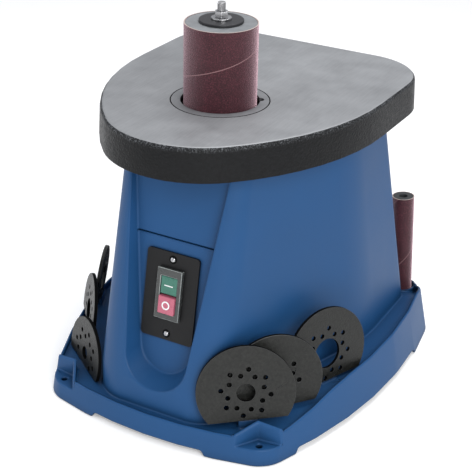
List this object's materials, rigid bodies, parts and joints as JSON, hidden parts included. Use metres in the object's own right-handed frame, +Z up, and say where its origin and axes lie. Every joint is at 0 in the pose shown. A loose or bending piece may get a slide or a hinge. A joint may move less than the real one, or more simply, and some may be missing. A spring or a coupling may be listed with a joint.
{
  "type": "oscillating spindle sander",
  "caption": "Benchtop sander with a drum that spins and strokes up and down through a cast table, on a moulded housing whose base is a tray for spare inserts and drums.",
  "frame": {"origin": "middle of the base's footprint, on the surface the machine stands on", "axes": "+Z up, -Y towards the user's side with the switch, +X to the user's right"},
  "size_m": [0.3758, 0.4111, 0.447],
  "materials": {
    "housing_blue": "satin moulded plastic",
    "black_plastic": "matt",
    "grey_plastic": "smoky",
    "green_plastic": "gloss",
    "red_plastic": "gloss",
    "table_iron": "ground on top, cast on the skirt",
    "insert_iron": "cast and oiled",
    "steel": "turned",
    "black_steel": "black",
    "cast_alloy": "as cast",
    "sheet_steel": "grey",
    "rubber": "matt",
    "abrasive": "gritty aluminium oxide cloth",
    "bronze": "machined",
    "copper": "enamelled wire on laminations"
  },
  "bodies": {
    "base": {"housing": "housing_blue", "base_plate": "sheet_steel", "base_plate_screws": "steel", "table": "table_iron", "table_screws": "steel", "quill_housing": "cast_alloy", "quill_housing_screws": "steel", "chassis_plate": "sheet_steel", "chassis_posts": "steel", "chassis_screws": "steel", "pulley_bearing": "steel", "drive_belt": "rubber", "motor_case": "cast_alloy", "motor_bearings": "steel", "motor_stator": "copper", "motor_screws": "steel", "dust_chute": "black_plastic", "dust_port": "black_plastic", "shaft_seal": "rubber", "switch_plate": "black_plastic", "switch_body": "black_plastic", "switch_frame": "grey_plastic", "switch_screws": "steel", "cord_gland": "rubber"},
    "quill_assembly": {"quill": "steel", "quill_bearings": "steel", "quill_lug": "steel"},
    "spindle_assembly": {"spindle": "steel", "spindle_clip": "black_steel", "drum": "rubber", "sanding_sleeve": "abrasive", "lower_washer": "black_steel", "upper_washer": "black_steel", "lock_collar": "steel", "spindle_nut": "steel"},
    "driven_pulley_and_worm": {"driven_pulley": "cast_alloy", "worm": "steel"},
    "wheel_and_crank": {"worm_wheel": "bronze", "crank_shaft": "steel"},
    "rod": {"connecting_rod": "cast_alloy"},
    "motor_shaft": {"motor_rotor": "steel", "motor_fan": "black_plastic", "motor_pulley": "cast_alloy"},
    "on_push": {"on_button": "green_plastic"},
    "off_push": {"off_button": "red_plastic"},
    "insert_in_use": {"table_insert": "table_iron"},
    "stored_drum_set": {"stored_drum": "rubber", "stored_sleeve": "abrasive"},
    "stored_right_front": {"insert_right_front": "insert_iron"},
    "stored_right_middle": {"insert_right_middle": "insert_iron"},
    "stored_right_rear": {"insert_right_rear": "insert_iron"},
    "stored_left_front": {"insert_left_front": "insert_iron"},
    "stored_left_middle": {"insert_left_middle": "insert_iron"},
    "stored_left_rear": {"insert_left_rear": "insert_iron"}
  },
  "joints": [
    {"name": "spindle_stroke", "type": "slide", "parent": "base", "child": "quill_assembly", "axis": [0, 0, 1], "range_m": [-0.008, 0.008]},
    {"name": "spindle_spin", "type": "hinge", "parent": "quill_assembly", "child": "spindle_assembly", "pos_m": [0, -0.049, 0.2], "axis": [0, 0, 1], "continuous": true},
    {"name": "motor_spin", "type": "hinge", "parent": "base", "child": "motor_shaft", "pos_m": [0, 0.061, 0.18], "axis": [0, 0, 1], "continuous": true},
    {"name": "pulley_spin", "type": "hinge", "parent": "base", "child": "driven_pulley_and_worm", "pos_m": [0, -0.049, 0.1], "axis": [0, 0, 1], "continuous": true},
    {"name": "wheel_spin", "type": "hinge", "parent": "base", "child": "wheel_and_crank", "pos_m": [0.04035, -0.049, 0.132], "axis": [0, 1, 0], "continuous": true},
    {"name": "rod_swing", "type": "hinge", "parent": "wheel_and_crank", "child": "rod", "pos_m": [0.03235, -0.049, 0.132], "axis": [0, 1, 0], "continuous": true},
    {"name": "on_press", "type": "slide", "parent": "base", "child": "on_push", "axis": [0, 0.9854, -0.1702], "range_m": [0, 0.0025], "stiffness_N_per_m": 300, "springref_m": -0.002},
    {"name": "off_press", "type": "slide", "parent": "base", "child": "off_push", "axis": [0, 0.9854, -0.1702], "range_m": [0, 0.0025], "stiffness_N_per_m": 300, "springref_m": -0.002},
    {"name": "insert_lift", "type": "slide", "parent": "base", "child": "insert_in_use", "axis": [0, 0, 1], "range_m": [0, 0.02]},
    {"name": "stored_drum_lift", "type": "slide", "parent": "base", "child": "stored_drum_set", "axis": [-0.0523, 0, 0.9986], "range_m": [0, 0.04]},
    {"name": "right_front_lift", "type": "slide", "parent": "base", "child": "stored_right_front", "axis": [-0.0865, 0.1283, 0.988], "range_m": [0, 0.03]},
    {"name": "right_middle_lift", "type": "slide", "parent": "base", "child": "stored_right_middle", "axis": [-0.0869, 0.0854, 0.9925], "range_m": [0, 0.03]},
    {"name": "right_rear_lift", "type": "slide", "parent": "base", "child": "stored_right_rear", "axis": [-0.1183, 0.0552, 0.9914], "range_m": [0, 0.03]},
    {"name": "left_front_lift", "type": "slide", "parent": "base", "child": "stored_left_front", "axis": [0.0778, 0.1154, 0.9903], "range_m": [0, 0.03]},
    {"name": "left_middle_lift", "type": "slide", "parent": "base", "child": "stored_left_middle", "axis": [0.1181, 0.1026, 0.9877], "range_m": [0, 0.03]},
    {"name": "left_rear_lift", "type": "slide", "parent": "base", "child": "stored_left_rear", "axis": [0.1261, 0.0588, 0.9903], "range_m": [0, 0.03]}
  ],
  "couplings": [
    {"joint": "pulley_spin", "follows": "motor_spin", "ratio": 0.69231},
    {"joint": "spindle_spin", "follows": "motor_spin", "ratio": 0.69231},
    {"joint": "wheel_spin", "follows": "motor_spin", "ratio": -0.01978},
    {"joint": "rod_swing", "follows": "motor_spin", "ratio": 0.01978}
  ]
}
